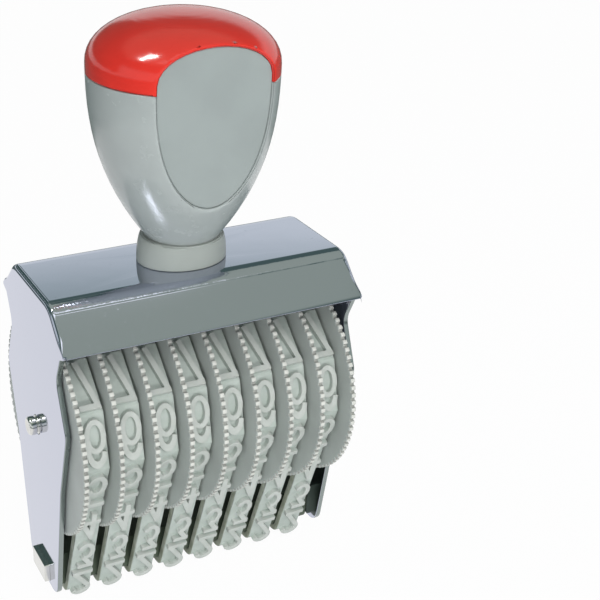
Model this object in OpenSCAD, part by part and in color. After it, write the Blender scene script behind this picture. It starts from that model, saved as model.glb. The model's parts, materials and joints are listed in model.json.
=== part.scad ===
// Hand numbering stamp. Eight rubber digit bands run over finger wheels on one axle
// and round a printing bar, in a folded steel housing with a palm handle on top.
// Millimetres. X runs along the axle, the front is -Y, and z = 0 is the printing plane.

/* [Digits and bands] */
// Width of one rubber band
band_w = 5.4; // [4.6:0.1:7]
// Thickness of the rubber under the digits
band_t = 1.5; // [1.4:0.1:1.8]
// Height that a digit stands above the rubber
relief = 1.2; // [0.8:0.1:1.4]
// Distance from digit to digit along a straight run of the band
cell_pitch = 10.5; // [10:0.1:11.2]
// Height of a printed digit
digit_h = 9; // [7:0.1:9.4]
// Width of a digit
digit_w = 4.7; // [3.6:0.1:5.2]
// Width of a digit's stroke
stroke = 1.2; // [0.7:0.05:1.3]

/* [Number wheels] */
// Radius over the teeth of a finger wheel's rim
wheel_r = 24.4; // [22.5:0.1:25]
// Thickness of the toothed disc
disc_t = 1; // [0.8:0.1:1.6]
// Height of the rim's teeth
tooth_h = 0.6; // [0.3:0.1:1]
// Number of teeth on a rim
teeth = 90; // [60:2:120]
// Radius of the drum that carries the band
drum_r = 17.1; // [16.5:0.1:18.4]
// Wall of the drum
drum_wall = 2.4; // [1.6:0.1:4]
// Radius of the hub round the axle
hub_r = 5; // [4:0.1:7]
// Height of the axle above the printing plane
axle_z = 44.2; // [43:0.1:47]

/* [Axle] */
// Diameter of the axle
axle_d = 5; // [3:0.1:6.4]
// Diameter of the axle's riveted ends
rivet_d = 4.2; // [2.4:0.1:4.6]
// Length that a riveted end stands out of the end plate
rivet_out = 2; // [0.8:0.1:2.4]

/* [Printing bar] */
// Depth of the bar, front to back
bar_w = 8.4; // [8:0.1:10]
// Height of the bar
bar_h = 9; // [7.4:0.1:10]
// Radius of the bar's two lower edges
bar_r = 1.6; // [0.6:0.1:2]
// Depth of the bar's end tabs, front to back
tab_w = 8.2; // [6:0.1:9]
// Height of the bar's end tabs
tab_h = 4.4; // [3:0.1:4.6]
// Height of the tabs above the bar's lower face
tab_rise = 2.6; // [1.8:0.1:2.7]
// Length that a tab stands out of the end plate
tab_out = 1.2; // [0.8:0.1:2.4]

/* [Housing] */
// Thickness of the housing's sheet
sheet_t = 1.2; // [0.8:0.1:1.6]
// Height of the housing's top face
top_z = 77.3; // [76:0.1:83]
// Height of the end plates' lower edge
foot_z = 4.2; // [3:0.1:4.8]
// Depth of the flat top, front to back
top_w = 22.4; // [20:0.1:28]
// Depth across the two aprons' lower edges
apron_w = 38.8; // [36:0.1:44]
// Drop of the aprons below the top face
apron_drop = 8; // [6:0.1:9]
// Outer radius of the bends between the top and the aprons
bend_r = 5.6; // [2:0.1:8.4]
// Depth of the end plates at their waist, measured between the outline's corners
waist_w = 28; // [26:0.1:33]
// Height of the end plates' waist
waist_z = 62.2; // [61:0.1:65]
// Depth of the end plates where they are widest
belly_w = 37.2; // [33:0.1:40]
// Height where the end plates are widest
belly_z = 51.2; // [47:0.1:54]
// Depth of the end plates at the foot
foot_w = 17.2; // [16:0.1:24]

/* [Handle] */
// Greatest radius of the palm knob
knob_r = 19.3; // [17:0.1:22]
// Height of the palm knob above the top face
knob_top = 51.8; // [48:0.1:58]
// Height above the top face where the knob is widest
knob_wide = 41.8; // [38:0.1:44]
// Height of the red cap's edge above the top face
cap_line = 39.9; // [34:0.1:41]
// Depth between the two flat faces, at their lower ends
face_w = 27.8; // [25:0.1:31]
// Angle at which each flat face leans outward
face_lean = 2; // [0:0.1:4]
// Wall of the knob's two shells
knob_wall = 2.2; // [1.6:0.1:3]
// Thickness of the two face plates
plate_t = 1.4; // [0.8:0.1:2]
// Depth that a face plate lies below the rim of the cap
plate_sunk = 0.4; // [0.2:0.1:0.8]
// Width of the flat rim round a face plate
face_rim = 0.5; // [0.4:0.1:1.5]
// Length of the collar's oval foot, left to right
collar_l = 19.6; // [18:0.1:22]
// Depth of the collar's oval foot, front to back
collar_d = 15.8; // [15:0.1:18]
// Width of the collar's lip round the knob
collar_lip = 0.7; // [0.5:0.1:1.2]
// Height of the collar
collar_h = 5.7; // [5:0.1:7]
// Radius of the knob where it enters the collar
neck_r = 6.5; // [5.8:0.1:7]
// Diameter of the handle's stud
stud_d = 6; // [5:0.1:8]

/* [Fit] */
// Gap between a band and the disc on its left
side_gap = 0.8; // [0.3:0.05:1]
// Gap between a band and the disc on its right
far_gap = 0.5; // [0.3:0.05:0.8]
// Gap between one wheel and the next
wheel_gap = 0.3; // [0.2:0.05:0.6]
// Gap between a drum and its band
drum_gap = 0.3; // [0.2:0.05:0.5]
// Gap between the first wheel and the left end plate
left_gap = 0.4; // [0.3:0.05:1]
// Radial clearance of the wheels on the axle
axle_fit = 0.06; // [0.02:0.01:0.1]
// Gap between pieces that are fastened together
seat_fit = 0.05; // [0.02:0.01:0.1]
// Thickness of the spacer beside the last wheel
spacer_t = 1.2; // [0.8:0.1:2.4]

/* [Hidden] */

// Wheels are counted from the left.
wheel_count = 8;
pitch = disc_t + side_gap + band_w + far_gap;
inner_w = left_gap + wheel_count * pitch + disc_t + wheel_gap + spacer_t + wheel_gap;
outer_w = inner_w + 2 * sheet_t;
first_disc_x = -inner_w / 2 + left_gap;
end_disc_x = first_disc_x + wheel_count * pitch;
spacer_x = end_disc_x + disc_t + wheel_gap;

// A band lies on the wheel in flat cells, one to a digit, and runs straight from there to the bar.
facet_turn = 35;
wheel_cells = 7;
run_cells = 3;
first_edge = -38.5;
band_seat = 0.1;
digit_sink = 1.2;
run_drop = 1.4;
bar_lap = 1.1;
corner_y = bar_w / 2 - bar_r;
bar_z = relief + band_t + band_seat;
corner_z = bar_z + bar_r;
tab_z = bar_z + tab_rise;
round_steps = 8;

// Knob profile, heights from the top face.
knob_foot = collar_h - 1.6;
knob_swell = 2.45;
knob_dome = 2.12;
profile_steps = 14;
face_low = 16;

// ---- points and outlines -------------------------------------------------

function unit(v) = v / norm(v);
function heading(v) = atan2(v.y, v.x);
function on_circle(c, r, a) = c + r * [cos(a), sin(a)];
function short_turn(d) = d > 180 ? d - 360 : d < -180 ? d + 360 : d;
function reversed(path) = [for (i = [len(path) - 1:-1:0]) path[i]];
function mirrored(path) = [for (p = reversed(path)) [-p.x, p.y]];

// Rounds the corner b between a and c.
function corner_arc(a, b, c, r, steps = 6) =
    let (u = unit(a - b), v = unit(c - b), half = acos(u * v) / 2)
    let (centre = b + unit(u + v) * r / sin(half))
    let (start = heading(b + u * r / tan(half) - centre))
    let (turn = short_turn(heading(b + v * r / tan(half) - centre) - start))
    [for (i = [0:steps]) on_circle(centre, r, start + turn * i / steps)];

// Points of an outline whose corners are [x, y, radius].
function rounded(pts) = [
    for (i = [0:len(pts) - 1])
        let (n = len(pts), p = pts[i], a = pts[(i + n - 1) % n], c = pts[(i + 1) % n])
        each p.z > 0
            ? corner_arc([a.x, a.y], [p.x, p.y], [c.x, c.y], p.z)
            : [[p.x, p.y]]
];

// Left or right side of a centre line, a distance off to its left.
function joint_normal(path, i) =
    let (n = len(path) - 1)
    let (into = unit(path[max(i, 1)] - path[max(i, 1) - 1]))
    let (out = unit(path[min(i, n - 1) + 1] - path[min(i, n - 1)]))
    let (m = unit(into + out))
    [-m.y, m.x] / (m * into);
function beside(path, off) = [for (i = [0:len(path) - 1]) path[i] + off * joint_normal(path, i)];
function ribbon(path, w) = concat(beside(path, w / 2), reversed(beside(path, -w / 2)));
function oval_arc(c, rx, ry, from, to, steps = 10) =
    [for (i = [0:steps]) let (a = from + (to - from) * i / steps) c + [rx * cos(a), ry * sin(a)]];
function oval(c, rx, ry, steps = 20) =
    [for (i = [0:steps - 1]) c + [rx * cos(360 * i / steps), ry * sin(360 * i / steps)]];

// Draws a (y, z) outline and gives it a length along X.
module along_x(x, length) {
    translate([x, 0, 0]) rotate([90, 0, 90]) linear_extrude(length) children();
}

// A round bar along X at a height.
module rod_x(x, length, d, z) {
    translate([x, 0, z]) rotate([0, 90, 0]) cylinder(h = length, d = d, $fn = 48);
}

// ---- digits ----------------------------------------------------------------

module stroke_line(path) { polygon(ribbon(path, stroke)); }

module stroke_ring(c, rx, ry) {
    difference() {
        polygon(oval(c, rx + stroke / 2, ry + stroke / 2));
        polygon(oval(c, rx - stroke / 2, ry - stroke / 2));
    }
}

// A digit h high, centred, drawn along the middle of its strokes.
module digit(n, h) {
    x = (digit_w - stroke) / 2;
    y = (h - stroke) / 2;
    low_r = 0.6 * y;
    low = [0, low_r - y];
    top_r = 0.44 * y;
    top = [0, y - top_r];
    if (n == 0) stroke_ring([0, 0], x, y);
    if (n == 1) {
        stroke_line([[x * 0.3, y + stroke / 2], [x * 0.3, -y - stroke / 2]]);
        stroke_line([[x * 0.3, y], [-x * 0.7, y * 0.62]]);
    }
    if (n == 2) {
        stroke_line(concat(oval_arc(top, x, top_r, 165, -30), [[-x, -y]]));
        stroke_line([[-x - stroke / 2, -y], [x + stroke / 2, -y]]);
    }
    if (n == 3) let (slim = 0.88 * x) {
        stroke_line([[-slim, y], [slim + stroke / 2, y]]);
        stroke_line([[slim, y], [-slim * 0.25, y * 0.16]]);
        stroke_line(oval_arc(low, slim, low_r, 110, -155));
    }
    if (n == 4) {
        stroke_line([[x * 0.35, y], [-x, -y * 0.4], [x + stroke / 2, -y * 0.4]]);
        stroke_line([[x * 0.35, y + stroke / 2], [x * 0.35, -y - stroke / 2]]);
    }
    if (n == 5) {
        stroke_line([[x + stroke / 2, y], [-x * 0.8, y], [-x, low.y + low_r * 0.45]]);
        stroke_line(oval_arc(low, x, low_r, 152, -155));
    }
    if (n == 6 || n == 9) rotate(n == 9 ? 180 : 0) {
        ring_r = 0.66 * y;
        tail = [0, 0.25 * y];
        tail_r = y + stroke / 2 - tail.y;
        stroke_ring([0, ring_r - y], x, ring_r);
        stroke_line([[-x, ring_r - y], [-x, tail.y]]);
        polygon(concat(
            oval_arc(tail, x + stroke / 2, tail_r, 180, 12),
            reversed(oval_arc(tail, x - stroke / 2, tail_r - 1.4 * stroke, 180, 12))
        ));
    }
    if (n == 7) {
        stroke_line([[-x - stroke / 2, y], [x + stroke / 2, y]]);
        stroke_line([[x, y], [-x * 0.35, -y - stroke / 2]]);
    }
    if (n == 8) {
        stroke_ring([0, y * 0.5], x * 0.92, y * 0.5);
        stroke_ring([0, -y * 0.48], x, y * 0.52);
    }
}

// ---- bands -----------------------------------------------------------------

// Place on a wheel-borne facet's corner, offset outward from the band's inner face.
function wheel_corner(i, off) =
    let (a = first_edge + facet_turn * i, r = (drum_r + drum_gap + off) / cos(facet_turn / 2))
    [-r * cos(a), axle_z + r * sin(a)];

// Heading of the straight run from p down to the bar's front corner, and its end there.
function run_heading(p, r) = let (v = [-corner_y, corner_z] - p) heading(v) - asin(r / norm(v));
function run_end(p, r) = let (a = run_heading(p, r)) [-corner_y, corner_z] + r * [sin(a), -cos(a)];
function bar_arc(p, r) =
    let (stop = heading(run_end(p, r) - [-corner_y, corner_z]))
    [for (i = [0:round_steps])
        on_circle([-corner_y, corner_z], r, -90 + short_turn(stop + 90) * i / round_steps)];

// The whole loop, offset outward from the band's inner face.
function band_loop(off) =
    let (front = wheel_corner(0, off), back = wheel_corner(wheel_cells, off), r = bar_r + band_seat + off)
    concat(
        bar_arc(front, r),
        [for (i = [0:wheel_cells]) wheel_corner(i, off)],
        mirrored(bar_arc([-back.x, back.y], r))
    );

front_top = wheel_corner(0, band_t);
back_top = wheel_corner(wheel_cells, band_t);
nose_r = bar_r + band_seat + band_t;
front_end = run_end(front_top, nose_r);
back_end = let (p = run_end([-back_top.x, back_top.y], nose_r)) [-p.x, p.y];
// A wheel-borne digit stretches with its band, as far as the rubber half way up the digit does.
half_up = band_t + relief / 2;
wheel_cell = norm(wheel_corner(1, half_up) - wheel_corner(0, half_up));
first_digit = cell_pitch / 2 + run_drop;

// Digits in order round the loop, with -1 for a blank cell.
front_digits = [2, 3, 4];
wheel_digits = [5, 6, 7, 8, 9, -1, -1];

// Each digit's [digit, height, centre, direction of the band there].
digit_places = concat(
    [[1, digit_h, [0, relief], [-1, 0]]],
    [for (i = [0:run_cells - 1])
        let (up = unit(front_top - front_end))
        [front_digits[i], digit_h, front_top - up * (first_digit + (run_cells - 1 - i) * cell_pitch), up]],
    [for (i = [0:wheel_cells - 1])
        let (a = wheel_corner(i, band_t), b = wheel_corner(i + 1, band_t))
        [wheel_digits[i], digit_h * wheel_cell / cell_pitch, (a + b) / 2, unit(b - a)]],
    [let (down = unit(back_end - back_top)) [0, digit_h, back_end - down * (digit_h / 2 - bar_lap), down]]
);

module number_band(k) {
    x = first_disc_x + (k - 1) * pitch + disc_t + side_gap;
    color([0.72, 0.75, 0.70]) {
        along_x(x, band_w) difference() {
            polygon(band_loop(band_t));
            polygon(band_loop(0));
        }
        for (p = digit_places) if (p[0] >= 0)
            translate([x + band_w / 2, p[2].x, p[2].y])
                rotate([heading(p[3]), 0, 0])
                translate([0, 0, -digit_sink])
                linear_extrude(digit_sink + relief)
                mirror([0, 1]) digit(p[0], p[1]);
    }
}

// ---- wheels ----------------------------------------------------------------

function rim_points() = [
    for (i = [0:teeth - 1], s = [[0, 0], [0.06, 1], [0.58, 1], [0.64, 0]])
        on_circle([0, 0], wheel_r - tooth_h * (1 - s.y), 360 * (i + s.x) / teeth)
];

module toothed_disc(x) {
    translate([0, 0, axle_z]) along_x(x, disc_t) difference() {
        polygon(rim_points());
        circle(d = axle_d + 2 * axle_fit, $fn = 48);
    }
}

module drum(x, length) {
    translate([x, 0, axle_z]) rotate([0, 90, 0]) {
        difference() {
            cylinder(h = length, r = drum_r, $fn = 96);
            translate([0, 0, -1]) cylinder(h = length + 2, r = drum_r - drum_wall, $fn = 96);
        }
        difference() {
            cylinder(h = length, r = hub_r, $fn = 48);
            translate([0, 0, -1]) cylinder(h = length + 2, d = axle_d + 2 * axle_fit, $fn = 48);
        }
    }
}

module number_wheel(k) {
    x = first_disc_x + (k - 1) * pitch;
    overlap = 0.2;
    gap = k == wheel_count ? seat_fit : wheel_gap;
    color([0.75, 0.77, 0.74]) {
        toothed_disc(x);
        drum(x + disc_t - overlap, pitch - disc_t + overlap - gap);
    }
}

module end_disc() { color([0.75, 0.77, 0.74]) toothed_disc(end_disc_x); }

module spacer() {
    color([0.7, 0.7, 0.72]) difference() {
        rod_x(spacer_x, spacer_t, 2 * hub_r, axle_z);
        rod_x(spacer_x - 1, spacer_t + 2, axle_d + 2 * axle_fit, axle_z);
    }
}

module axle() {
    shoulder = 0.1;
    color([0.8, 0.8, 0.8]) {
        rod_x(-inner_w / 2 + shoulder, inner_w - 2 * shoulder, axle_d, axle_z);
        rod_x(-outer_w / 2 - rivet_out, outer_w + 2 * rivet_out, rivet_d, axle_z);
    }
}

module printing_bar() {
    half = bar_w / 2;
    body = rounded([[-half, bar_z, bar_r], [half, bar_z, bar_r],
        [half, bar_z + bar_h, 0], [-half, bar_z + bar_h, 0]]);
    color([0.8, 0.8, 0.8]) {
        along_x(-inner_w / 2 + seat_fit, inner_w - 2 * seat_fit) polygon(body);
        translate([-outer_w / 2 - tab_out, -tab_w / 2, tab_z])
            cube([outer_w + 2 * tab_out, tab_w, tab_h]);
    }
}

// ---- housing ---------------------------------------------------------------

apron_z = top_z - apron_drop;
apron_in = sheet_t / cos(atan2(apron_w - top_w, 2 * apron_drop));

// Corners of an end plate's outline between the named ones: a step in under the apron, and
// the curve down to the foot.
step_in = 2.6;
step_drop = 1.2;
curve_out = 5.2;
curve_drop = 16;

// Rear half of an end plate's outline, from the top down.
plate_side = [
    [top_w / 2, top_z, bend_r],
    [apron_w / 2, apron_z, 0.6],
    [apron_w / 2 - step_in, apron_z - step_drop, 0.4],
    [waist_w / 2, waist_z, 4],
    [belly_w / 2, belly_z, 4],
    [foot_w / 2 + curve_out, belly_z - curve_drop, 16],
    [foot_w / 2, foot_z, 3.4]
];
function both_sides(pts) = concat(pts, [for (p = reversed(pts)) [-p.x, p.y, p.z]]);

// The top with its two aprons, as one bent strip.
module cover_strip() {
    outer = [[apron_w / 2, apron_z, 0], [top_w / 2, top_z, bend_r]];
    inner = [[apron_w / 2 - apron_in, apron_z, 0],
        [top_w / 2 - apron_in + sheet_t * (apron_w - top_w) / 2 / apron_drop, top_z - sheet_t,
            bend_r - sheet_t]];
    polygon(rounded(concat(outer, [for (p = reversed(outer)) [-p.x, p.y, p.z]],
        [for (p = inner) [-p.x, p.y, p.z]], reversed(inner))));
}

module end_plate(x) {
    difference() {
        along_x(x, sheet_t) polygon(rounded(both_sides(plate_side)));
        rod_x(x - 1, sheet_t + 2, rivet_d + 2 * seat_fit, axle_z);
        translate([x - 1, -tab_w / 2 - seat_fit, tab_z - seat_fit])
            cube([sheet_t + 2, tab_w + 2 * seat_fit, tab_h + 2 * seat_fit]);
    }
}

module housing() {
    color([0.72, 0.74, 0.77]) difference() {
        union() {
            end_plate(-outer_w / 2);
            end_plate(inner_w / 2);
            along_x(-outer_w / 2 + sheet_t / 2, outer_w - sheet_t) cover_strip();
        }
        translate([0, 0, top_z - sheet_t - 1])
            cylinder(h = sheet_t + 2, d = stud_d + 2 * seat_fit, $fn = 48);
    }
}

// ---- handle ----------------------------------------------------------------

washer_t = 1;
washer_d = 2.2 * stud_d;
nut_t = 0.75 * stud_d;
nut_across = 1.75 * stud_d;
stud_in = 16;

module nut_washer() {
    color([0.8, 0.8, 0.8]) translate([0, 0, top_z - sheet_t - washer_t]) difference() {
        cylinder(h = washer_t, d = washer_d, $fn = 48);
        translate([0, 0, -1]) cylinder(h = washer_t + 2, d = stud_d + 2 * seat_fit, $fn = 48);
    }
}

module stud_nut() {
    color([0.75, 0.75, 0.75]) translate([0, 0, top_z - sheet_t - washer_t - nut_t]) difference() {
        cylinder(h = nut_t, d = nut_across / cos(30), $fn = 6);
        translate([0, 0, -1]) cylinder(h = nut_t + 2, d = stud_d + 2 * seat_fit, $fn = 48);
    }
}

module handle_stud() {
    low = top_z - sheet_t - washer_t - nut_t - 0.6;
    color([0.8, 0.8, 0.8]) translate([0, 0, low])
        cylinder(h = top_z + knob_foot + stud_in - low, d = stud_d, $fn = 48);
}

// Radius of the knob at a height above the top face.
function knob_radius(h) =
    h < knob_wide
        ? knob_r - (knob_r - neck_r) * pow((knob_wide - h) / (knob_wide - knob_foot), knob_swell)
        : knob_r * pow(max(1 - pow((h - knob_wide) / (knob_top - knob_wide), knob_dome), 0),
            1 / knob_dome);

// Profile from one height up to another, a distance inside the skin.
function swell_points(from, to, inset) =
    [for (i = [0:profile_steps]) let (h = from + (to - from) * i / profile_steps)
        [knob_radius(h) - inset, h]];
function dome_points(inset) =
    [for (i = [1:profile_steps]) let (a = 90 * i / profile_steps)
        [max(0, (knob_r - inset) * pow(cos(a), 2 / knob_dome)),
            knob_wide + (knob_top - inset - knob_wide) * pow(sin(a), 2 / knob_dome)]];

// The space between the two leaning faces, drawn in by an inset.
module between_faces(inset) {
    big = 3 * knob_top;
    half = face_w / 2 - inset;
    intersection() {
        translate([-big / 2, 0, face_low]) rotate([face_lean, 0, 0])
            translate([0, -half, -big / 2]) cube([big, big, big]);
        translate([-big / 2, 0, face_low]) rotate([-face_lean, 0, 0])
            translate([0, half - big, -big / 2]) cube([big, big, big]);
    }
}

// A solid of the knob's outer shape between two heights, drawn in by an inset.
module knob_solid(from, to, inset) {
    intersection() {
        rotate_extrude($fn = 96)
            polygon(concat([[0, from]], swell_points(from, knob_wide, inset), dome_points(inset)));
        between_faces(inset);
        translate([0, 0, from + (to - from) / 2]) cube([4 * knob_r, 4 * knob_r, to - from], center = true);
    }
}

// Recess in which a face plate lies, from its back outward.
module face_pocket(side, depth) {
    big = 3 * knob_top;
    rotate([0, 0, side > 0 ? 180 : 0])
        translate([-big / 2, 0, face_low]) rotate([face_lean, 0, 0])
        translate([0, -face_w / 2 - big + depth, -big / 2]) cube([big, big, big]);
}

// Distance of a flat face from the knob's axis at a height.
function face_y(h) = face_w / 2 + tan(face_lean) * (h - face_low);
// Height at which the knob's skin meets the flat face, between a height without one and knob_wide.
function face_end(out, in, steps = 20) =
    let (m = (out + in) / 2)
    steps == 0 ? m
        : knob_radius(m) < face_y(m) ? face_end(m, in, steps - 1) : face_end(out, m, steps - 1);
face_bottom = face_end(knob_foot, knob_wide);
face_top = face_end(knob_top, knob_wide);

// A flat face seen square on, drawn in by an inset.
module face_outline(inset) {
    n = 2 * profile_steps;
    mid = [0, (face_top + face_bottom) / 2];
    side = [for (i = [0:n])
        let (h = mid.y - (face_top - face_bottom) / 2 * cos(180 * i / n))
        let (p = [sqrt(max(0, pow(knob_radius(h), 2) - pow(face_y(h), 2))), h])
        p - inset * unit(p - mid)];
    polygon(concat(side, [for (i = [1:n - 1]) [-side[n - i].x, side[n - i].y]]));
}

module face_plate(side) {
    big = 2 * knob_r;
    intersection() {
        rotate([90, 0, 0]) translate([0, 0, -big]) linear_extrude(2 * big) face_outline(face_rim + seat_fit);
        difference() {
            face_pocket(side, plate_sunk + plate_t);
            face_pocket(side, plate_sunk);
        }
        rotate([0, 0, side > 0 ? 180 : 0]) translate([-big, -2 * big, 0]) cube([2 * big, 2 * big, 2 * knob_top]);
    }
}

module face_recess(side) {
    big = 2 * knob_r;
    intersection() {
        rotate([90, 0, 0]) translate([0, 0, -big]) linear_extrude(2 * big) face_outline(face_rim);
        face_pocket(side, plate_sunk + plate_t + seat_fit);
        rotate([0, 0, side > 0 ? 180 : 0]) translate([-big, -2 * big, 0]) cube([2 * big, 2 * big, 2 * knob_top]);
    }
}

module knob_body() {
    boss_r = stud_d / 2 + 2.6;
    floor_t = 3;
    color([0.65, 0.68, 0.67]) translate([0, 0, top_z]) difference() {
        union() {
            difference() {
                knob_solid(knob_foot, cap_line, 0);
                knob_solid(knob_foot + floor_t, cap_line + 1, knob_wall + plate_sunk + plate_t);
            }
            translate([0, 0, knob_foot + 1]) cylinder(h = stud_in + 1, r = boss_r, $fn = 48);
        }
        face_recess(-1);
        face_recess(1);
        translate([0, 0, knob_foot - 1]) cylinder(h = stud_in + 1.2, d = stud_d + 2 * seat_fit, $fn = 48);
    }
}

module knob_cap() {
    color([0.84, 0.25, 0.23]) translate([0, 0, top_z]) difference() {
        knob_solid(cap_line + seat_fit, knob_top + 1, 0);
        knob_solid(cap_line - 1, knob_top + 1, knob_wall + plate_sunk + plate_t);
        face_recess(-1);
        face_recess(1);
    }
}

module front_face_plate() { color([0.64, 0.68, 0.68]) translate([0, 0, top_z]) face_plate(-1); }
module rear_face_plate() { color([0.64, 0.68, 0.68]) translate([0, 0, top_z]) face_plate(1); }

// A solid through level oval rings, each [half length, half depth, height].
module ring_loft(rings, sides = 48) {
    points = [for (r = rings, i = [0:sides - 1])
        [r.x * cos(360 * i / sides), r.y * sin(360 * i / sides), r.z]];
    walls = [for (k = [0:len(rings) - 2], i = [0:sides - 1])
        let (a = k * sides + i, b = k * sides + (i + 1) % sides)
        each [[a, b + sides, b], [a, a + sides, b + sides]]];
    foot = [for (i = [0:sides - 1]) i];
    head = [for (i = [sides - 1:-1:0]) (len(rings) - 1) * sides + i];
    polyhedron(points, concat([foot], walls, [head]));
}

// Collar: an oval foot that bows in to a round mouth, which holds the foot of the knob.
module collar() {
    mouth_r = knob_radius(collar_h) + seat_fit;
    lip_r = mouth_r + collar_lip;
    steps = 6;
    rings = [for (i = [0:steps])
        let (a = 90 * i / steps)
        [lip_r + (collar_l / 2 - lip_r) * cos(a), lip_r + (collar_d / 2 - lip_r) * cos(a), collar_h * sin(a)]];
    color([0.62, 0.66, 0.63]) translate([0, 0, top_z]) difference() {
        ring_loft(rings);
        translate([0, 0, -1]) cylinder(h = collar_h, d = stud_d + 2 * seat_fit, $fn = 48);
        translate([0, 0, knob_foot - seat_fit])
            cylinder(h = collar_h - knob_foot + seat_fit, r1 = neck_r + seat_fit, r2 = mouth_r, $fn = 96);
        translate([0, 0, collar_h - 0.01]) cylinder(h = 1, r = mouth_r, $fn = 96);
    }
}

housing();
axle();
printing_bar();
spacer();
end_disc();
number_wheel(1);  // number_wheel_1
number_wheel(2);  // number_wheel_2
number_wheel(3);  // number_wheel_3
number_wheel(4);  // number_wheel_4
number_wheel(5);  // number_wheel_5
number_wheel(6);  // number_wheel_6
number_wheel(7);  // number_wheel_7
number_wheel(8);  // number_wheel_8
number_band(1);  // number_band_1
number_band(2);  // number_band_2
number_band(3);  // number_band_3
number_band(4);  // number_band_4
number_band(5);  // number_band_5
number_band(6);  // number_band_6
number_band(7);  // number_band_7
number_band(8);  // number_band_8
handle_stud();
stud_nut();
nut_washer();
collar();
knob_body();
knob_cap();
front_face_plate();
rear_face_plate();
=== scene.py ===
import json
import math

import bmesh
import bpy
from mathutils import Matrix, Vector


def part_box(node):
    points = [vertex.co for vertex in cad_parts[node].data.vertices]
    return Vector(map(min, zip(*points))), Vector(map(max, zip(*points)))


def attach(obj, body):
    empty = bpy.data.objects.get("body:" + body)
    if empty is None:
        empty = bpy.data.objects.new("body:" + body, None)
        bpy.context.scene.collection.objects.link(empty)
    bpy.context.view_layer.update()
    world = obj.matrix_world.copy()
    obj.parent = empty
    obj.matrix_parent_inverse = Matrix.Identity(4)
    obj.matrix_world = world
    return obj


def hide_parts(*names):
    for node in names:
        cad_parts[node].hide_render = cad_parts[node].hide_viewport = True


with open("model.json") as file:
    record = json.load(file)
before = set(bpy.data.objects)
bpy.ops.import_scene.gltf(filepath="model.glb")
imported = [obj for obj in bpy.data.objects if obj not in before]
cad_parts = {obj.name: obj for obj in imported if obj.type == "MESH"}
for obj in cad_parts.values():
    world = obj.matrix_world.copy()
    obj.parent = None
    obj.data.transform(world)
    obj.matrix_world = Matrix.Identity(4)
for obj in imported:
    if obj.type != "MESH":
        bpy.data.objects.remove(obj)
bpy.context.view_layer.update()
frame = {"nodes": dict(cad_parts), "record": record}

# %% [markdown]
# # Dressing a hand numbering stamp
#
# The stamp is already built as exact solids: a folded, chrome-plated housing, eight
# rubber digit bands over toothed finger wheels, and a two-colour palm knob. This lesson
# turns those solids into a picture. It rounds the edges that catch light, writes one
# finish for each material, and sets up a small studio. Everything is in metres.
# X runs along the axle, the front faces -Y, and the stamp stands on z = 0.

body_of = {node: body for body, nodes in frame["record"]["behaviour"]["bodies"].items() for node in nodes}

# %% [markdown]
# ## Shader maths as plain sums
#
# A finish is a small network of nodes. Placing each Math node by hand hides the idea
# behind it, so a socket is wrapped in a class that understands +, - and *. The sum
# `0.4 - grain * 0.1` then adds the two Math nodes by itself. Every other kind of node
# comes from one method, `node`, which sets the node's settings first and its sockets
# afterwards.

# %% A socket that can stand in a sum


class Value:
    """A node's output, for use in Python sums."""

    def __init__(self, graph, socket):
        self.graph, self.socket = graph, socket

    def __add__(self, other):
        return self.graph.maths("ADD", self, other)

    def __sub__(self, other):
        return self.graph.maths("SUBTRACT", self, other)

    def __rsub__(self, other):
        return self.graph.maths("SUBTRACT", other, self)

    def __mul__(self, other):
        return self.graph.maths("MULTIPLY", self, other)

    __radd__ = __add__
    __rmul__ = __mul__


class Graph:
    """The nodes of one material or world."""

    def __init__(self, tree):
        self.tree = tree

    def node(self, kind, settings=None, sockets=None, output=0):
        made = self.tree.nodes.new(kind)
        for name, value in (settings or {}).items():
            if name == "stops":
                while len(made.color_ramp.elements) < len(value):
                    made.color_ramp.elements.new(1.0)
                for element, (place, colour) in zip(made.color_ramp.elements, value):
                    element.position, element.color = place, (*colour, 1.0)
            else:
                setattr(made, name, value)
        for name, value in (sockets or {}).items():
            self.plug(made.inputs[name], value)
        return Value(self, made.outputs[output])

    def plug(self, socket, value):
        if isinstance(value, Value):
            self.tree.links.new(value.socket, socket)
        else:
            socket.default_value = value

    def maths(self, operation, a, b):
        return self.node("ShaderNodeMath", {"operation": operation}, {0: a, 1: b})

    def blend(self, factor, a, b):
        """Colour a where the factor is 0, and b where it is 1."""
        return self.node("ShaderNodeMix", {"data_type": "RGBA"}, {0: factor, 6: a, 7: b}, output=2)

    def ramp(self, factor, *stops):
        return self.node("ShaderNodeValToRGB", {"stops": stops}, {0: factor})

    def noise(self, size, detail=2.0, stretch=(1.0, 1.0, 1.0), rough=0.5):
        """Soft blobs about `size` metres across, fixed to the piece."""
        place = self.node("ShaderNodeTexCoord", output=3)
        scaled = self.node("ShaderNodeMapping", {}, {"Vector": place, "Scale": [s / size for s in stretch]})
        return self.node("ShaderNodeTexNoise", {},
                         {"Vector": scaled, "Scale": 1.0, "Detail": detail, "Roughness": rough})

    def band(self, value, low, high):
        """0 below low, 1 above high, and a soft step between them."""
        return self.node("ShaderNodeMapRange", {"interpolation_type": "SMOOTHSTEP"},
                         {0: value, 1: low, 2: high, 3: 0.0, 4: 1.0})


def linear(red, green, blue):
    """A colour as it is named on screen, 0 to 255, as the light values that nodes use."""
    return [(c / 255 / 12.92) if c <= 10 else ((c / 255 + 0.055) / 1.055) ** 2.4 for c in (red, green, blue)]


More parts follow.
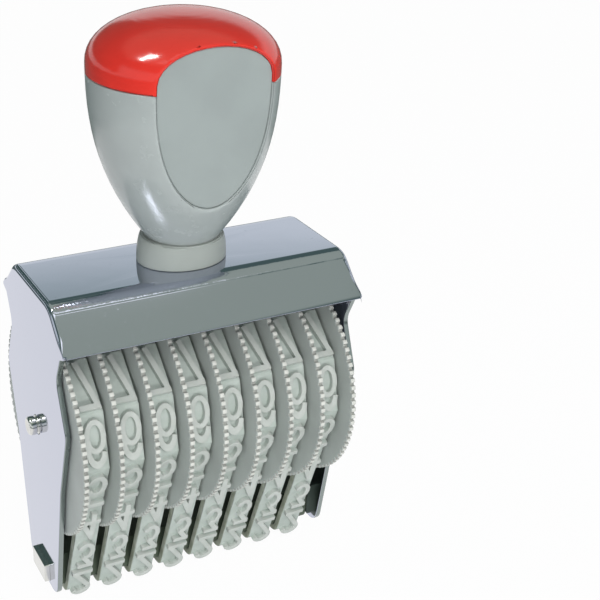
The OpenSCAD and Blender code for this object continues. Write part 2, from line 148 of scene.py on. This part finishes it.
def finish(name, colour, roughness, metallic=0.0, **surface):
    """A material with its plain numbers set, and the graph that takes the rest."""
    material = bpy.data.materials.new(name)
    material.use_nodes = True
    shader = material.node_tree.nodes["Principled BSDF"]
    shader.inputs["Base Color"].default_value = (*colour, 1.0)
    shader.inputs["Roughness"].default_value = roughness
    shader.inputs["Metallic"].default_value = metallic
    for socket, value in surface.items():
        shader.inputs[socket.replace("_", " ")].default_value = value
    material.diffuse_color = (*colour, 1.0)
    return material, Graph(material.node_tree), shader.inputs


def add_bump(graph, inputs, height, distance, strength=1.0):
    graph.plug(inputs["Normal"], graph.node(
        "ShaderNodeBump", {}, {"Height": height, "Distance": distance, "Strength": strength}))


print("a sum of two nodes is ready:", Value.__name__, Graph.__name__)

# %% [markdown]
# ## The camera
#
# The stamp is seen from the front left and from above, at arm's length with a short
# telephoto lens. A camera object looks along its own -Z, so its axes are written out
# from two angles and one small roll. The picture's frame sits a little to one side of
# the line of sight, which is what a lens shift does.

# %% Place the camera
FRAME_SIDE = 600
FOCAL_PIXELS = 1189.65
AIM = Vector((0.00074, 0.0, 0.06653))
DISTANCE = 0.25612
SENSOR_WIDTH = 36.0
FRAME_SHIFT = (0.19343, 0.0018)
NEAREST = 0.01
side_turn, rise, roll = (math.radians(a) for a in (-25.3626, 26.2025, 0.6))

back = Vector((
    math.sin(side_turn) * math.cos(rise),
    -math.cos(side_turn) * math.cos(rise),
    math.sin(rise),
))
across = Vector((math.cos(side_turn), math.sin(side_turn), 0.0))
upward = back.cross(across)
camera_x = across * math.cos(roll) + upward * math.sin(roll)
camera_y = upward * math.cos(roll) - across * math.sin(roll)

camera = bpy.data.objects.new("camera", bpy.data.cameras.new("camera"))
bpy.context.scene.collection.objects.link(camera)
stand = Matrix((camera_x, camera_y, back)).transposed().to_4x4()
stand.translation = AIM + back * DISTANCE
camera.matrix_world = stand
camera.data.sensor_width = SENSOR_WIDTH
camera.data.lens = FOCAL_PIXELS / FRAME_SIDE * camera.data.sensor_width
camera.data.shift_x, camera.data.shift_y = FRAME_SHIFT
camera.data.clip_start = NEAREST
bpy.context.scene.camera = camera
print("lens %.1f mm, %.0f mm away" % (camera.data.lens, DISTANCE * 1000))

# %% [markdown]
# ## The studio
#
# Chrome has no colour of its own: it shows the room. So the room is designed first, as
# bands of brightness by height: a pale wall low down, a dark gallery above it, a dim
# grey-green ceiling, and one long strip light above the front. The left part of the back
# wall is dark too. Each of them is drawn by a soft-edged mask on the direction in which
# a ray leaves. The camera itself sees plain white wherever it looks past the stamp, and
# matte surfaces get an even, plain light.

# %% Colour the room by direction
CORNER_EDGE, CORNER_DEPTH = (0.17, 0.23), (0.2, 0.3)
CORNER_FOOT, CORNER_TOP = (0.09, 0.12), (0.6, 0.7)
CORNER_COLOUR = (0.07, 0.12, 0.105, 1.0)
STRIP_FRONT, STRIP_BACK = (-0.40, -0.385), (-0.20, -0.16)
STRIP_FOOT, STRIP_END = (0.8, 0.84), (0.36, 0.42)
STRIP_COLOUR = (1.6, 1.62, 1.6, 1.0)

scene = bpy.context.scene
scene.view_settings.view_transform = "Standard"
world = bpy.data.worlds.new("studio")
world.use_nodes = True
scene.world = world
room = Graph(world.node_tree)
sky = world.node_tree.nodes["Background"].inputs

direction = room.node("ShaderNodeTexCoord", output=0)
along, depth, height = (
    room.node("ShaderNodeSeparateXYZ", {}, {0: direction}, output=axis) for axis in range(3))
walls = room.ramp(
    height,
    (0.0, (0.80, 0.84, 0.84)),
    (0.385, (0.84, 0.89, 0.89)),
    (0.43, (0.50, 0.58, 0.575)),
    (0.452, (0.43, 0.51, 0.50)),
    (0.475, (0.10, 0.155, 0.14)),
    (0.68, (0.09, 0.14, 0.125)),
    (0.76, (0.41, 0.47, 0.385)),
    (0.92, (0.44, 0.495, 0.405)),
)
dark_corner = (1 - room.band(along, *CORNER_EDGE)) * room.band(depth, *CORNER_DEPTH)
dark_corner = dark_corner * room.band(height, *CORNER_FOOT) * (1 - room.band(height, *CORNER_TOP))
strip = room.band(depth, *STRIP_FRONT) * (1 - room.band(depth, *STRIP_BACK))
strip = strip * room.band(height, *STRIP_FOOT) * (1 - room.band(along, *STRIP_END))
walls = room.blend(dark_corner, walls, CORNER_COLOUR)
walls = room.blend(strip, walls, STRIP_COLOUR)
print("room colours:", len(room.tree.nodes), "nodes")

# %% Choose what each kind of ray sees
AMBIENT = 0.42
camera_ray = room.node("ShaderNodeLightPath", output="Is Camera Ray")
mirror_ray = room.node("ShaderNodeLightPath", output="Is Glossy Ray") \
    + room.node("ShaderNodeLightPath", output="Is Transmission Ray")
seen_colour = room.blend(mirror_ray, (0.96 * AMBIENT, AMBIENT, 1.02 * AMBIENT, 1.0), walls)
room.plug(sky["Color"], room.blend(camera_ray, seen_colour, (1.0, 1.0, 1.0, 1.0)))
print("even light on matte surfaces:", AMBIENT)

# %% [markdown]
# ## The lamps
#
# A large soft key lamp stands in front and above, so that the apron's shadow falls on
# the top of the wheels and each digit stands out. A pale card low in front lifts the
# lower half, as white paper would. Both are hidden from mirrors, which already have the
# room. The window is the other way round: it only shows as a highlight on gloss.

# %% Hang the lamps
MIDDLE = Vector((0.0, 0.0, 0.06))


def lamp(name, towards, distance, size, power):
    data = bpy.data.lights.new(name, "AREA")
    data.shape, data.size, data.size_y = "RECTANGLE", size[0], size[1]
    data.energy = power
    made = bpy.data.objects.new(name, data)
    made.location = MIDDLE + Vector(towards).normalized() * distance
    made.rotation_euler = (MIDDLE - made.location).to_track_quat("-Z", "Y").to_euler()
    scene.collection.objects.link(made)
    return made


key = lamp("key", (-0.10, -0.66, 0.74), 0.8, (0.34, 0.34), 2.5)
card = lamp("card", (-0.25, -0.95, -0.02), 0.7, (0.9, 0.12), 3.4)
for soft in (key, card):
    soft.visible_glossy = False
window = lamp("window", (-0.46, 0.05, 0.885), 0.7, (0.06, 0.20), 2.6)
window.visible_diffuse = False

# %% [markdown]
# ## The table
#
# The stamp stands on a white sheet that runs out of the picture. For the camera the
# sheet is nearly all its own white, so the background stays clean, and a small share of
# it is lit normally, so a faint shadow remains where the stamp stands. In the chrome the
# sheet fades out about 250 mm from the stamp's middle, and the dark table beyond it
# draws the thin dark line that follows a polished edge.

# %% Lay the table
TABLE_HALF = 4.0
TABLE_Z = -0.0001
SHEET_END = (0.23, 0.27)
OWN_WHITE = 0.97

table_mesh = bpy.data.meshes.new("table")
corners = [(x * TABLE_HALF, y * TABLE_HALF, TABLE_Z) for x, y in ((-1, -1), (1, -1), (1, 1), (-1, 1))]
table_mesh.from_pydata(corners, [], [(0, 1, 2, 3)])
table = bpy.data.objects.new("table", table_mesh)
scene.collection.objects.link(table)

table_paint, graph, _ = finish("table white", (0.88, 0.89, 0.92), 0.9)
place = graph.node("ShaderNodeTexCoord", output=3)
reach = graph.node("ShaderNodeVectorMath", {"operation": "LENGTH"}, {0: place}, output=1)
far = graph.band(reach, *SHEET_END)
seen = graph.node("ShaderNodeLightPath", output="Is Camera Ray")
mirrored = graph.node("ShaderNodeLightPath", output="Is Glossy Ray")
through = graph.node("ShaderNodeLightPath", output="Is Transmission Ray")
sheet_white = graph.blend(far * (1 - seen), (1.0, 1.0, 1.0, 1.0), (0.10, 0.14, 0.13, 1.0))
glow = graph.node("ShaderNodeEmission", {}, {"Color": sheet_white, "Strength": 1.0})
lit = Value(graph, table_paint.node_tree.nodes["Principled BSDF"].outputs[0])
own_share = (seen + mirrored + through) * OWN_WHITE
mixed = graph.node("ShaderNodeMixShader", {}, {0: own_share, 1: lit, 2: glow})
graph.plug(table_paint.node_tree.nodes["Material Output"].inputs["Surface"], mixed)
table_mesh.materials.append(table_paint)
print("table laid:", table.name)

# %% [markdown]
# ## Chrome plating
#
# The housing is polished steel under bright chrome. Chromium mirrors a little over half
# of the light, slightly blue. Where the sheet was bent it stretched, and stretched steel
# turns slightly crumpled. That shows as glitter and a wavering line of light along the
# bends, while the flats stay smooth. So the bump is strong only where the surface tilts
# between the flats, which the normal tells. Punched edges take the plating badly, and
# they get a duller, darker version.

# %% Mix the plating
BEND_BEGINS, BEND_ENDS = (0.74, 0.80), (0.955, 0.985)


def chrome(name, colour, roughness, waver=1.0):
    material, graph, inputs = finish(name, colour, roughness, metallic=1.0)
    cloud = graph.noise(0.018, detail=3.0)
    specks = graph.band(graph.noise(0.0007, detail=1.0), 0.72, 0.77)
    dull = [c * 0.96 for c in colour]
    graph.plug(inputs["Base Color"], graph.blend(cloud, (*colour, 1.0), (*dull, 1.0)))
    graph.plug(inputs["Roughness"], cloud * 0.03 + roughness + specks * 0.10)
    normal = graph.node("ShaderNodeTexCoord", output=1)
    tilt = graph.node("ShaderNodeSeparateXYZ", {}, {0: normal}, output=2)
    bent = graph.band(tilt, *BEND_BEGINS) * (1 - graph.band(tilt, *BEND_ENDS))
    crumple = graph.noise(0.0004, detail=2.0) + graph.noise(0.0035, detail=2.0) * 3.0
    flats = graph.noise(0.007, detail=1.0)
    add_bump(graph, inputs, (crumple * bent * 4.0 + flats) * waver, 0.000012, 0.5)
    return material


plating = chrome("chrome plating", (0.533, 0.555, 0.662), 0.05)
cut_chrome = chrome("plated cut edge", (0.30, 0.34, 0.33), 0.24, waver=3.0)
print("platings:", plating.name, "and", cut_chrome.name)

# %% [markdown]
# ## Bright steel
#
# The printing bar, the axle and the small fasteners are plain steel with a bright zinc
# finish: a softer mirror, with fine marks along the direction in which it was drawn.
# Noise that is stretched along X gives those marks.

# %% Mix the steel
steel, graph, inputs = finish("bright steel", (0.70, 0.70, 0.68), 0.16, metallic=1.0)
drawn = graph.noise(0.0004, detail=2.0, stretch=(0.03, 1.0, 1.0))
stain = graph.noise(0.004, detail=3.0)
graph.plug(inputs["Base Color"], graph.blend(stain, (0.62, 0.62, 0.60, 1.0), (0.76, 0.76, 0.73, 1.0)))
graph.plug(inputs["Roughness"], drawn * 0.14 + 0.08)
add_bump(graph, inputs, drawn, 0.000008, 0.5)
print("steel:", len(graph.tree.nodes), "nodes")

# %% [markdown]
# ## Band rubber
#
# The bands are pale sage rubber, cast in a mould. The digits print. Their faces are
# painted a little lighter and warmer than the matte web between them; the lighter tone
# is a painted highlight for the light that the raised faces catch. The flanks are painted
# darker and yellower: partly old ink and dust, partly painted shade, since they stand deep
# between the bands. That makes three materials for one band.
# All have the fine pitted skin of cast rubber, and a soft patchy tone.

# %% Mix the rubbers


def rubber(name, pale, dull, roughness):
    material, graph, inputs = finish(name, pale, roughness, Specular_IOR_Level=0.35)
    patch = graph.noise(0.0035, detail=4.0, rough=0.6)
    pits = graph.noise(0.00035, detail=2.0)
    graph.plug(inputs["Base Color"], graph.blend(graph.band(patch, 0.35, 0.7), (*pale, 1.0), (*dull, 1.0)))
    graph.plug(inputs["Roughness"], pits * 0.12 + roughness - 0.06)
    add_bump(graph, inputs, pits + patch * 2.0, 0.00003, 0.7)
    return material


web_rubber = rubber("band rubber", linear(182, 190, 184), linear(171, 180, 173), 0.62)
# The digit faces are painted a little lighter than the web: a painted highlight for the light they catch.
digit_highlight_rubber = rubber("digit rubber with painted highlight", linear(187, 191, 186), linear(177, 182, 176), 0.55)
# The flanks are painted darker: partly old ink and dust, partly painted shade between the bands.
flank_ink_and_shade_rubber = rubber("flank rubber with ink and painted shade", linear(182, 188, 174), linear(152, 158, 140), 0.7)
print("rubbers:", web_rubber.name, digit_highlight_rubber.name, flank_ink_and_shade_rubber.name)

# %% [markdown]
# ## Moulded plastics
#
# The finger wheels are matte, the knob's body and cap are glossy, and the oval plates
# and the collar are satin. One recipe serves all of them: a base colour with a slight
# cloudiness from the melt, a roughness that varies where it was touched, and a grain in
# the bump. Only the numbers differ.

# %% Mix the plastics


def plastic(name, colour, roughness, touch=0.06, grain=0.0003, depth=0.00001, shade=0.94, **surface):
    material, graph, inputs = finish(name, colour, roughness, **surface)
    melt = graph.noise(0.009, detail=3.0)
    fingers = graph.noise(0.005, detail=4.0, rough=0.65)
    skin = graph.noise(grain, detail=2.0)
    darker = [c * shade for c in colour]
    graph.plug(inputs["Base Color"], graph.blend(graph.band(melt, 0.3, 0.7), (*colour, 1.0), (*darker, 1.0)))
    graph.plug(inputs["Roughness"], graph.band(fingers, 0.45, 0.75) * touch + roughness)
    add_bump(graph, inputs, skin, depth, 0.6)
    return material


matte = {"grain": 0.0004, "depth": 0.00002}
wheel_plastic = plastic("wheel plastic", linear(184, 190, 186), 0.5, shade=0.90, **matte)
# Tooth tops: a painted highlight, lighter than the wheel.
tooth_highlight_plastic = plastic("wheel teeth with painted highlight", linear(206, 207, 200), 0.45, shade=0.90, **matte)
# Grooves between the teeth: a painted shade, darker than the wheel.
groove_shade_plastic = plastic("wheel grooves with painted shade", linear(160, 162, 156), 0.6, shade=0.85, **matte)
body_plastic = plastic("knob grey", linear(162, 169, 167), 0.24, depth=0.000006,
                       Coat_Weight=0.1, Coat_Roughness=0.08)
cap_plastic = plastic("knob red", linear(218, 50, 40), 0.14, depth=0.000006, shade=0.93,
                      Specular_IOR_Level=0.4, Coat_Weight=0.2, Coat_Roughness=0.03)
plate_plastic = plastic("plate grey", linear(147, 155, 153), 0.42, grain=0.00025, depth=0.000014)
collar_plastic = plastic("collar grey", linear(154, 160, 155), 0.33, depth=0.000012)
print("plastics for the wheels:", wheel_plastic.name, tooth_highlight_plastic.name, groove_shade_plastic.name)
print("plastics for the knob:", body_plastic.name, cap_plastic.name, plate_plastic.name, collar_plastic.name)

# %% [markdown]
# ## Steel with ink and painted shade
#
# Between the end plates the printing bar is painted dark: partly ink, and partly painted
# shade, as the bar sits deep inside the bands where little light reaches it. Dried ink is
# a matte film with metal shining through in places, which the recipe for plastics gives
# too, with stronger clouds and some metal mixed in.

# %% Mix the bar's steel, dark with ink and painted shade
# The bar's dark colour between the end plates is partly ink and partly painted shade.
bar_ink_and_shade_steel = plastic("steel with ink and painted shade", linear(88, 100, 84), 0.5, grain=0.0005, depth=0.00002, shade=0.7,
                      metallic=0.4)
print("ink and painted shade:", bar_ink_and_shade_steel.name)

# %% [markdown]
# ## Softer edges
#
# No real edge is perfectly sharp, and the thin line of light on a rounded edge is what
# makes a part look solid. A CAD mesh holds points that lie on each other and slivers of
# faces, so a copy of it is cleaned first. Then a Bevel modifier rounds the edges that turn
# more than a set angle, and a Weighted Normal modifier keeps the flats looking flat. The
# copy stands in for its solid and rides on the same moving body.

# %% Helpers that round a solid's edges
SAME_POINT = 2e-6
SLIVER = 1e-6


def clean_copy(node):
    """The node's shape as a new mesh, with doubled points merged and slivers dissolved."""
    source = frame["nodes"][node].data
    mesh = bpy.data.meshes.new(node + "_shape")
    mesh.from_pydata([v.co[:] for v in source.vertices], [], [p.vertices[:] for p in source.polygons])
    shape = bmesh.new()
    shape.from_mesh(mesh)
    bmesh.ops.remove_doubles(shape, verts=shape.verts, dist=SAME_POINT)
    bmesh.ops.dissolve_degenerate(shape, edges=shape.edges, dist=SLIVER)
    bmesh.ops.recalc_face_normals(shape, faces=shape.faces)
    shape.to_mesh(mesh)
    shape.free()
    return mesh


def stand_in(name, mesh, node, materials):
    """A piece made of the mesh, which takes the node's place on the node's body."""
    for material in materials:
        mesh.materials.append(material)
    piece = bpy.data.objects.new(name, mesh)
    scene.collection.objects.link(piece)
    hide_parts(node)
    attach(piece, body_of[node])
    return piece


def round_edges(piece, radius, steps=2, turn=28.0):
    bevel = piece.modifiers.new("rounded edges", "BEVEL")
    bevel.width, bevel.segments = radius, steps
    bevel.limit_method, bevel.angle_limit = "ANGLE", math.radians(turn)
    bevel.use_clamp_overlap = False
    bevel.miter_outer = "MITER_ARC"
    piece.data.shade_smooth()
    normals = piece.modifiers.new("flat faces", "WEIGHTED_NORMAL")
    normals.keep_sharp = True
    return piece


def softened(node, materials, radius, steps=2, turn=28.0):
    piece = stand_in(node + "_soft", clean_copy(node), node, materials)
    return round_edges(piece, radius, steps, turn)


print("helpers ready")

# %% [markdown]
# ## The housing's rolled ends
#
# The housing is folded from sheet. Where its top and aprons turn into the end plates,
# the fold has a radius of about one sheet's thickness, and that soft roll is what draws
# the dark and bright lines along the chrome. A Bevel modifier can't change its radius
# along an edge, so the roll is built here: the flat end face is taken off, rings of
# points climb from its outline in a quarter circle, and a new face closes the last ring.
# Below the aprons the edge is only punched, so the radius shrinks to a small one over a
# short stretch just above the aprons' lower edges.

# %% Find the outline of an end face
TINY = 2e-5


def in_loops(edges):
    """The edges as closed loops, each an ordered list of points."""
    left = sorted(edges, key=lambda edge: edge.index)
    loops = []
    while left:
        first = left.pop(0)
        loop = [first.verts[0], first.verts[1]]
        while loop[-1] is not loop[0]:
            following = next(edge for edge in left if loop[-1] in edge.verts)
            left.remove(following)
            loop.append(following.other_vert(loop[-1]))
        loops.append(loop[:-1])
    return loops


def open_loops(shape):
    """The rims of the openings in a shape, the longest first."""
    shape.edges.index_update()
    rim = [edge for edge in shape.edges if len(edge.link_faces) == 1]
    return sorted(in_loops(rim), key=len, reverse=True)


def take_off_end(shape, side):
    """Removes the flat face at one end."""
    reach = max(point.co.x * side for point in shape.verts)
    flat = [face for face in shape.faces if all(abs(v.co.x * side - reach) < TINY for v in face.verts)]
    bmesh.ops.delete(shape, geom=flat, context="FACES")


print("end faces are found by their X within", TINY * 1000, "mm")

# %% Roll the edge of an end face
ROLL_RADIUS = 0.00115
PUNCHED_RADIUS = 0.00028
ROLL_STEPS = 7
ROLL_BEGINS = 0.0008
ROLL_GROWS_OVER = 0.0025
LONG_EDGE = 0.004
LONG_EDGE_CUTS = 8
SHARPEST_CORNER = 0.7


def inward_steps(loop):
    """For each point of a flat loop, the step that moves the whole outline inward by 1."""
    area = sum(a.co.y * b.co.z - b.co.y * a.co.z for a, b in zip(loop, loop[1:] + loop[:1]))
    turn = 1.0 if area > 0 else -1.0
    sides = []
    for a, b in zip(loop, loop[1:] + loop[:1]):
        run = (b.co - a.co).normalized()
        sides.append(Vector((0.0, -run.z, run.y)) * turn)
    steps = []
    for before, after in zip(sides[-1:] + sides[:-1], sides):
        middle = (before + after).normalized()
        steps.append(middle / max(middle.dot(after), SHARPEST_CORNER))
    return steps


def roll_end(shape, side, seam_z):
    """Rounds one end of the housing; seam_z is the height of the aprons' lower edges."""
    take_off_end(shape, side)
    outline = open_loops(shape)[0]
    long_edges = [edge for a, b in zip(outline, outline[1:] + outline[:1]) for edge in a.link_edges
                  if b in edge.verts and min(a.co.z, b.co.z) > seam_z and abs(a.co.z - b.co.z) > LONG_EDGE]
    bmesh.ops.subdivide_edges(shape, edges=long_edges, cuts=LONG_EDGE_CUTS)
    outline, *holes = open_loops(shape)
    steps = inward_steps(outline)
    grown = [min(max((v.co.z - seam_z - ROLL_BEGINS) / ROLL_GROWS_OVER, 0.0), 1.0) for v in outline]
    radii = [PUNCHED_RADIUS + (ROLL_RADIUS - PUNCHED_RADIUS) * g * g * (3 - 2 * g) for g in grown]
    foot = [v.co.copy() for v in outline]
    ring = outline
    for point, radius in zip(ring, radii):
        point.co.x -= side * radius
    for count in range(1, ROLL_STEPS + 1):
        angle = math.radians(90) * count / ROLL_STEPS
        above = [shape.verts.new(base + step * radius * (1 - math.cos(angle))
                                 - Vector((side * radius * (1 - math.sin(angle)), 0.0, 0.0)))
                 for base, step, radius in zip(foot, steps, radii)]
        for i in range(len(ring)):
            j = (i + 1) % len(ring)
            shape.faces.new((ring[i], ring[j], above[j], above[i]))
        ring = above
    rims = [shape.edges.get((a, b)) for loop in [ring] + holes for a, b in zip(loop, loop[1:] + loop[:1])]
    bmesh.ops.triangle_fill(shape, use_beauty=True, use_dissolve=False, edges=rims, normal=(side, 0.0, 0.0))


print("roll of %.2f mm in %d steps" % (ROLL_RADIUS * 1000, ROLL_STEPS))

# %% [markdown]
# ## The housing and its fittings
#
# With both ends rolled, the remaining cut edges are rounded by a fifth of a millimetre.
# The edges that face front and back below the aprons are bare cuts through the sheet, and
# they take the duller plating. The printing bar shows bright steel only where its tabs
# come through the end plates: between them it's painted dark, partly ink and partly
# painted shade.

# %% Build the housing
CUT_EDGE_RADIUS = 0.0002
CUT_BEGINS = 0.0004
FACES_SIDEWAYS = 0.75

housing_mesh = clean_copy("housing")
shape = bmesh.new()
shape.from_mesh(housing_mesh)
widest = max(shape.verts, key=lambda point: abs(point.co.y))
SEAM_Z = widest.co.z
for side in (-1, 1):
    roll_end(shape, side, SEAM_Z)
bmesh.ops.recalc_face_normals(shape, faces=shape.faces)
shape.to_mesh(housing_mesh)
shape.free()
housing = stand_in("housing_soft", housing_mesh, "housing", [plating, cut_chrome])
for face in housing_mesh.polygons:
    if abs(face.normal.x) < FACES_SIDEWAYS and face.center.z < SEAM_Z - CUT_BEGINS:
        face.material_index = 1
round_edges(housing, CUT_EDGE_RADIUS)
print("housing faces:", len(housing_mesh.polygons), "seam at %.1f mm" % (SEAM_Z * 1000))

# %% Dress the metal fittings
SHEET_THICKNESS = 0.0012
FITTING_RADII = {"spacer": 0.0001, "stud_nut": 0.0003, "nut_washer": 0.0001, "handle_stud": 0.0003}
BAR_RADIUS = 0.0002
INK_AND_SHADE_MARGIN = 0.0001

for node, radius in FITTING_RADII.items():
    softened(node, [steel], radius)

bar = softened("printing_bar", [steel, bar_ink_and_shade_steel], BAR_RADIUS)
PLATE_INSIDE = max(face.center.x for face in housing_mesh.polygons) - SHEET_THICKNESS
# Faces between the end plates take the dark material: partly ink, partly painted shade.
for face in bar.data.polygons:
    if max(abs(bar.data.vertices[i].co.x) for i in face.vertices) < PLATE_INSIDE + INK_AND_SHADE_MARGIN:
        face.material_index = 1
print("bar is dark with ink and painted shade to x = %.1f mm" % (PLATE_INSIDE * 1000))

# %% [markdown]
# ## The axle
#
# The axle is turned from round bar. Each end is stepped down to pass through the plate
# and headed outside it, with a narrow groove against the plate and a small chamfer. Half
# of its section is written as points, and turning that section round X makes the solid.

# %% Turn the axle
axle_low, axle_high = (Vector(corner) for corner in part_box("axle"))
AXLE_Z = (axle_low.z + axle_high.z) / 2
SHAFT_R = (axle_high.z - axle_low.z) / 2
STUB_R = 0.00205
GROOVE_R = 0.0017
AXLE_RADIUS = 0.00006
AXLE_SIDES = 64
end_x = axle_high.x
plate_x = PLATE_INSIDE + SHEET_THICKNESS
half_section = [
    (0.0, end_x - 0.0003), (0.0009, end_x - 0.00015), (0.00135, end_x), (0.0017, end_x),
    (STUB_R, end_x - 0.00035),
    (STUB_R, plate_x + 0.00055), (GROOVE_R, plate_x + 0.00035),
    (GROOVE_R, plate_x + 0.0001), (STUB_R, plate_x),
    (STUB_R, PLATE_INSIDE), (SHAFT_R, PLATE_INSIDE - 0.0001),
]


def turned(name, section, sides, centre_z):
    """A closed solid of revolution about the line through z = centre_z along X."""
    mesh = bpy.data.meshes.new(name)
    shape = bmesh.new()
    rings = []
    for radius, x in section:
        if radius == 0.0:
            rings.append([shape.verts.new((x, 0.0, centre_z))])
        else:
            rings.append([shape.verts.new((x, radius * math.cos(math.tau * i / sides),
                                           centre_z + radius * math.sin(math.tau * i / sides)))
                          for i in range(sides)])
    for first, second in zip(rings, rings[1:]):
        for i in range(sides):
            corners = [first[i % len(first)], first[(i + 1) % len(first)],
                       second[(i + 1) % len(second)], second[i % len(second)]]
            shape.faces.new(list(dict.fromkeys(corners)))
    bmesh.ops.recalc_face_normals(shape, faces=shape.faces)
    shape.to_mesh(mesh)
    shape.free()
    return mesh


section = half_section + [(radius, -x) for radius, x in reversed(half_section)]
axle_mesh = turned("axle_shape", section, AXLE_SIDES, AXLE_Z)
axle = stand_in("axle_turned", axle_mesh, "axle", [steel])
round_edges(axle, AXLE_RADIUS, turn=25.0)
print("axle points:", len(axle.data.vertices))

# %% [markdown]
# ## The bands
#
# A digit's printing face is the outermost flat that points a given way, with the web one
# relief height below it. Sorting the faces by the direction they point in finds them.
# The digit's walls share points with its printing face, so they are found next, and the
# band's two flanks are the faces at its greatest and least X.

# %% Find the digits and the flanks
RELIEF = (0.0008, 0.0016)
FLAT = 0.0002
SAME_DIRECTION = 0.3
BAND_RADIUS = 0.00014
BAND_COUNT = 8


def mark_band(mesh):
    """Gives the digits the second material and the flanks the third."""
    flats = sorted(((math.degrees(math.atan2(face.normal.z, face.normal.y)), face.index)
                    for face in mesh.polygons if abs(face.normal.x) < 0.05))
    by_direction, last = [], None
    for turn, index in flats:
        if last is None or turn - last > SAME_DIRECTION:
            by_direction.append([])
        face = mesh.polygons[index]
        by_direction[-1].append((face.normal.dot(face.center), face))
        last = turn
    raised = set()
    for faces in by_direction:
        top = max(height for height, _ in faces)
        if any(RELIEF[0] < top - height < RELIEF[1] for height, _ in faces):
            for height, face in faces:
                if top - height < FLAT:
                    raised.update(face.vertices)
    low_x, high_x = min(v.co.x for v in mesh.vertices), max(v.co.x for v in mesh.vertices)
    for face in mesh.polygons:
        if len(raised.intersection(face.vertices)) >= 2:
            face.material_index = 1
        elif abs(face.normal.x) > 0.9 and min(face.center.x - low_x, high_x - face.center.x) < FLAT:
            face.material_index = 2
    return len(raised)


rubbers = [web_rubber, digit_highlight_rubber, flank_ink_and_shade_rubber]
for number in range(1, BAND_COUNT + 1):
    band = softened("number_band_%d" % number, rubbers, BAND_RADIUS)
    digit_points = mark_band(band.data)
print("points on the digits of one band:", digit_points)

# %% [markdown]
# ## The finger wheels
#
# Each wheel has a toothed rim that a fingertip turns. The tooth tops are painted
# lighter, a painted highlight where they catch the light, and the grooves between them
# are painted darker, a painted shade. Both are told apart by their distance from the axle.

# %% Round the wheels and pick out their teeth
TOOTH_TOP = 0.00015
RIM_DEPTH = 0.0009
WHEEL_RADIUS = 0.00006


def mark_rim(mesh):
    reach = max(math.hypot(v.co.y, v.co.z - AXLE_Z) for v in mesh.vertices)
    for face in mesh.polygons:
        out = math.hypot(face.center.y, face.center.z - AXLE_Z)
        # Tooth tops take the painted highlight, and the grooves below them the painted shade.
        if out > reach - TOOTH_TOP and abs(face.normal.x) < 0.5:
            face.material_index = 1
        elif out > reach - RIM_DEPTH and abs(face.normal.x) < 0.5:
            face.material_index = 2


wheel_finishes = [wheel_plastic, tooth_highlight_plastic, groove_shade_plastic]
for node in ["number_wheel_%d" % number for number in range(1, BAND_COUNT + 1)] + ["end_disc"]:
    wheel = softened(node, wheel_finishes, WHEEL_RADIUS, steps=1, turn=50.0)
    mark_rim(wheel.data)
print("wheel faces:", len(wheel.data.polygons))

# %% [markdown]
# ## The palm knob
#
# The knob is two shells, a grey body and a red cap, with an oval plate let into each
# flat side. A mould leaves the shells' edges rounder than those of the thin plates, so
# the shells get twice the radius and one step more.

# %% Round the knob's pieces
SHELL_RADIUS = 0.0003
FACE_RADIUS = 0.00015
COLLAR_RADIUS = 0.00025

softened("knob_body", [body_plastic], SHELL_RADIUS, steps=3)
softened("knob_cap", [cap_plastic], SHELL_RADIUS, steps=3)
softened("front_face_plate", [plate_plastic], FACE_RADIUS)
softened("rear_face_plate", [plate_plastic], FACE_RADIUS)
softened("collar", [collar_plastic], COLLAR_RADIUS, steps=3)
print("knob pieces: 5")
